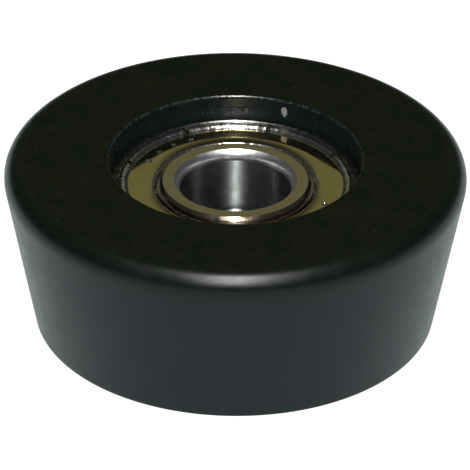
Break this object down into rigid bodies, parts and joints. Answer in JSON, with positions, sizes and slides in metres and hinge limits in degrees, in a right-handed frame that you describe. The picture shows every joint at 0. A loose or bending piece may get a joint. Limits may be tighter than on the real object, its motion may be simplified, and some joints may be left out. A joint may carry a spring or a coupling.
{
  "type": "cam follower",
  "caption": "Black tapered cam follower roller on two half-inch-bore shielded ball bearings pressed in back to back, for a fixed stud.",
  "frame": {"origin": "centre of the small end's flat face, on the bore axis", "axes": "+Z along the bore axis from the small end to the large end, which shows the upper bearing; +X is any radius"},
  "size_m": [0.0522, 0.0522, 0.0199],
  "materials": {
    "roller_black": "turned black acetal, satin",
    "ring_steel": "ground bearing steel",
    "shield_steel": "bright pressed sheet steel",
    "cage_steel": "pressed steel strip, riveted",
    "ball_steel": "polished chrome steel"
  },
  "bodies": {
    "inner_rings": {"upper_inner_ring": "ring_steel", "lower_inner_ring": "ring_steel"},
    "roller": {"roller_body": "roller_black", "upper_outer_ring": "ring_steel", "upper_shield_top": "shield_steel", "upper_shield_bottom": "shield_steel", "lower_outer_ring": "ring_steel", "lower_shield_top": "shield_steel", "lower_shield_bottom": "shield_steel"},
    "upper_cage": {"upper_cage_top_half": "cage_steel", "upper_cage_bottom_half": "cage_steel", "upper_cage_rivets": "cage_steel"},
    "upper_ball_01": {"upper_ball_01": "ball_steel"},
    "upper_ball_02": {"upper_ball_02": "ball_steel"},
    "upper_ball_03": {"upper_ball_03": "ball_steel"},
    "upper_ball_04": {"upper_ball_04": "ball_steel"},
    "upper_ball_05": {"upper_ball_05": "ball_steel"},
    "upper_ball_06": {"upper_ball_06": "ball_steel"},
    "upper_ball_07": {"upper_ball_07": "ball_steel"},
    "upper_ball_08": {"upper_ball_08": "ball_steel"},
    "upper_ball_09": {"upper_ball_09": "ball_steel"},
    "upper_ball_10": {"upper_ball_10": "ball_steel"},
    "lower_cage": {"lower_cage_top_half": "cage_steel", "lower_cage_bottom_half": "cage_steel", "lower_cage_rivets": "cage_steel"},
    "lower_ball_01": {"lower_ball_01": "ball_steel"},
    "lower_ball_02": {"lower_ball_02": "ball_steel"},
    "lower_ball_03": {"lower_ball_03": "ball_steel"},
    "lower_ball_04": {"lower_ball_04": "ball_steel"},
    "lower_ball_05": {"lower_ball_05": "ball_steel"},
    "lower_ball_06": {"lower_ball_06": "ball_steel"},
    "lower_ball_07": {"lower_ball_07": "ball_steel"},
    "lower_ball_08": {"lower_ball_08": "ball_steel"},
    "lower_ball_09": {"lower_ball_09": "ball_steel"},
    "lower_ball_10": {"lower_ball_10": "ball_steel"}
  },
  "joints": [
    {"name": "roller_spin", "type": "hinge", "parent": "inner_rings", "child": "roller", "pos_m": [0, 0, 0.00916], "axis": [0, 0, 1], "continuous": true},
    {"name": "upper_cage_spin", "type": "hinge", "parent": "inner_rings", "child": "upper_cage", "pos_m": [0, 0, 0.01313], "axis": [0, 0, 1], "continuous": true},
    {"name": "upper_ball_01_spin", "type": "hinge", "parent": "upper_cage", "child": "upper_ball_01", "pos_m": [0.01032, 0, 0.01313], "axis": [0, 0, 1], "continuous": true},
    {"name": "upper_ball_02_spin", "type": "hinge", "parent": "upper_cage", "child": "upper_ball_02", "pos_m": [0.00835, 0.00607, 0.01313], "axis": [0, 0, 1], "continuous": true},
    {"name": "upper_ball_03_spin", "type": "hinge", "parent": "upper_cage", "child": "upper_ball_03", "pos_m": [0.00319, 0.00981, 0.01313], "axis": [0, 0, 1], "continuous": true},
    {"name": "upper_ball_04_spin", "type": "hinge", "parent": "upper_cage", "child": "upper_ball_04", "pos_m": [-0.00319, 0.00981, 0.01313], "axis": [0, 0, 1], "continuous": true},
    {"name": "upper_ball_05_spin", "type": "hinge", "parent": "upper_cage", "child": "upper_ball_05", "pos_m": [-0.00835, 0.00607, 0.01313], "axis": [0, 0, 1], "continuous": true},
    {"name": "upper_ball_06_spin", "type": "hinge", "parent": "upper_cage", "child": "upper_ball_06", "pos_m": [-0.01032, 0, 0.01313], "axis": [0, 0, 1], "continuous": true},
    {"name": "upper_ball_07_spin", "type": "hinge", "parent": "upper_cage", "child": "upper_ball_07", "pos_m": [-0.00835, -0.00607, 0.01313], "axis": [0, 0, 1], "continuous": true},
    {"name": "upper_ball_08_spin", "type": "hinge", "parent": "upper_cage", "child": "upper_ball_08", "pos_m": [-0.00319, -0.00981, 0.01313], "axis": [0, 0, 1], "continuous": true},
    {"name": "upper_ball_09_spin", "type": "hinge", "parent": "upper_cage", "child": "upper_ball_09", "pos_m": [0.00319, -0.00981, 0.01313], "axis": [0, 0, 1], "continuous": true},
    {"name": "upper_ball_10_spin", "type": "hinge", "parent": "upper_cage", "child": "upper_ball_10", "pos_m": [0.00835, -0.00607, 0.01313], "axis": [0, 0, 1], "continuous": true},
    {"name": "lower_cage_spin", "type": "hinge", "parent": "inner_rings", "child": "lower_cage", "pos_m": [0, 0, 0.00519], "axis": [0, 0, 1], "continuous": true},
    {"name": "lower_ball_01_spin", "type": "hinge", "parent": "lower_cage", "child": "lower_ball_01", "pos_m": [0.01032, 0, 0.00519], "axis": [0, 0, 1], "continuous": true},
    {"name": "lower_ball_02_spin", "type": "hinge", "parent": "lower_cage", "child": "lower_ball_02", "pos_m": [0.00835, 0.00607, 0.00519], "axis": [0, 0, 1], "continuous": true},
    {"name": "lower_ball_03_spin", "type": "hinge", "parent": "lower_cage", "child": "lower_ball_03", "pos_m": [0.00319, 0.00981, 0.00519], "axis": [0, 0, 1], "continuous": true},
    {"name": "lower_ball_04_spin", "type": "hinge", "parent": "lower_cage", "child": "lower_ball_04", "pos_m": [-0.00319, 0.00981, 0.00519], "axis": [0, 0, 1], "continuous": true},
    {"name": "lower_ball_05_spin", "type": "hinge", "parent": "lower_cage", "child": "lower_ball_05", "pos_m": [-0.00835, 0.00607, 0.00519], "axis": [0, 0, 1], "continuous": true},
    {"name": "lower_ball_06_spin", "type": "hinge", "parent": "lower_cage", "child": "lower_ball_06", "pos_m": [-0.01032, 0, 0.00519], "axis": [0, 0, 1], "continuous": true},
    {"name": "lower_ball_07_spin", "type": "hinge", "parent": "lower_cage", "child": "lower_ball_07", "pos_m": [-0.00835, -0.00607, 0.00519], "axis": [0, 0, 1], "continuous": true},
    {"name": "lower_ball_08_spin", "type": "hinge", "parent": "lower_cage", "child": "lower_ball_08", "pos_m": [-0.00319, -0.00981, 0.00519], "axis": [0, 0, 1], "continuous": true},
    {"name": "lower_ball_09_spin", "type": "hinge", "parent": "lower_cage", "child": "lower_ball_09", "pos_m": [0.00319, -0.00981, 0.00519], "axis": [0, 0, 1], "continuous": true},
    {"name": "lower_ball_10_spin", "type": "hinge", "parent": "lower_cage", "child": "lower_ball_10", "pos_m": [0.00835, -0.00607, 0.00519], "axis": [0, 0, 1], "continuous": true}
  ],
  "couplings": [
    {"joint": "upper_cage_spin", "follows": "roller_spin", "ratio": 0.59615},
    {"joint": "upper_ball_01_spin", "follows": "roller_spin", "ratio": 2.5039},
    {"joint": "upper_ball_02_spin", "follows": "roller_spin", "ratio": 2.5039},
    {"joint": "upper_ball_03_spin", "follows": "roller_spin", "ratio": 2.5039},
    {"joint": "upper_ball_04_spin", "follows": "roller_spin", "ratio": 2.5039},
    {"joint": "upper_ball_05_spin", "follows": "roller_spin", "ratio": 2.5039},
    {"joint": "upper_ball_06_spin", "follows": "roller_spin", "ratio": 2.5039},
    {"joint": "upper_ball_07_spin", "follows": "roller_spin", "ratio": 2.5039},
    {"joint": "upper_ball_08_spin", "follows": "roller_spin", "ratio": 2.5039},
    {"joint": "upper_ball_09_spin", "follows": "roller_spin", "ratio": 2.5039},
    {"joint": "upper_ball_10_spin", "follows": "roller_spin", "ratio": 2.5039},
    {"joint": "lower_cage_spin", "follows": "roller_spin", "ratio": 0.59615},
    {"joint": "lower_ball_01_spin", "follows": "roller_spin", "ratio": 2.5039},
    {"joint": "lower_ball_02_spin", "follows": "roller_spin", "ratio": 2.5039},
    {"joint": "lower_ball_03_spin", "follows": "roller_spin", "ratio": 2.5039},
    {"joint": "lower_ball_04_spin", "follows": "roller_spin", "ratio": 2.5039},
    {"joint": "lower_ball_05_spin", "follows": "roller_spin", "ratio": 2.5039},
    {"joint": "lower_ball_06_spin", "follows": "roller_spin", "ratio": 2.5039},
    {"joint": "lower_ball_07_spin", "follows": "roller_spin", "ratio": 2.5039},
    {"joint": "lower_ball_08_spin", "follows": "roller_spin", "ratio": 2.5039},
    {"joint": "lower_ball_09_spin", "follows": "roller_spin", "ratio": 2.5039},
    {"joint": "lower_ball_10_spin", "follows": "roller_spin", "ratio": 2.5039}
  ]
}
